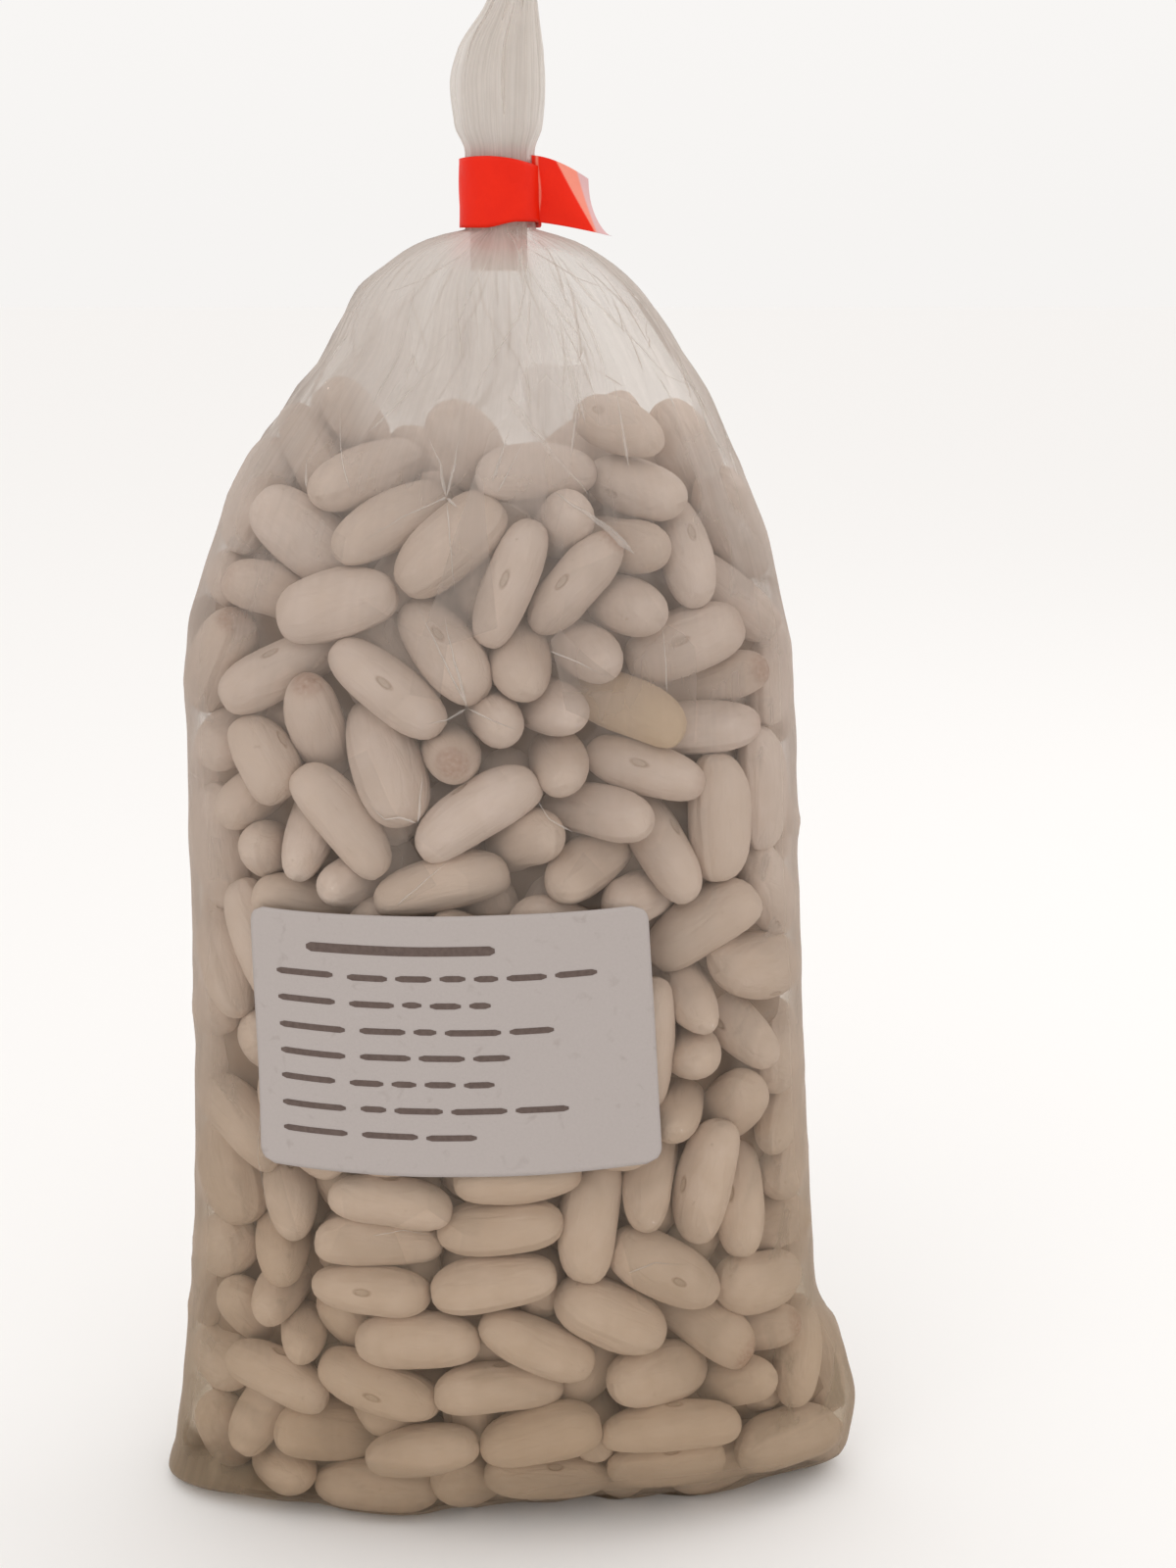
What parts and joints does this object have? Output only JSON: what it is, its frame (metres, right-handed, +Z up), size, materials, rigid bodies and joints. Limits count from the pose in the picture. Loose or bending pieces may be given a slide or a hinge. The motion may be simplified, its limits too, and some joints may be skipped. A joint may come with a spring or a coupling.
{
  "type": "bag of dried beans",
  "caption": "Clear film bag filled with dried white beans, gathered and taped at the neck, with a paper label on its front.",
  "frame": {"origin": "on the ground below the neck, at the middle of the bag's width and depth", "axes": "+Z up towards the taped neck, -Y out of the labelled front, +X to the right seen from the front"},
  "size_m": [0.1196, 0.0582, 0.254],
  "materials": {
    "filled_film": "clear thin film over matte off-white beans",
    "red_tape": "thin self-adhesive film, satin",
    "label_paper": "uncoated white paper label"
  },
  "bodies": {
    "root": {"film_bag": "filled_film", "neck_tape": "red_tape", "label": "label_paper"}
  },
  "joints": []
}
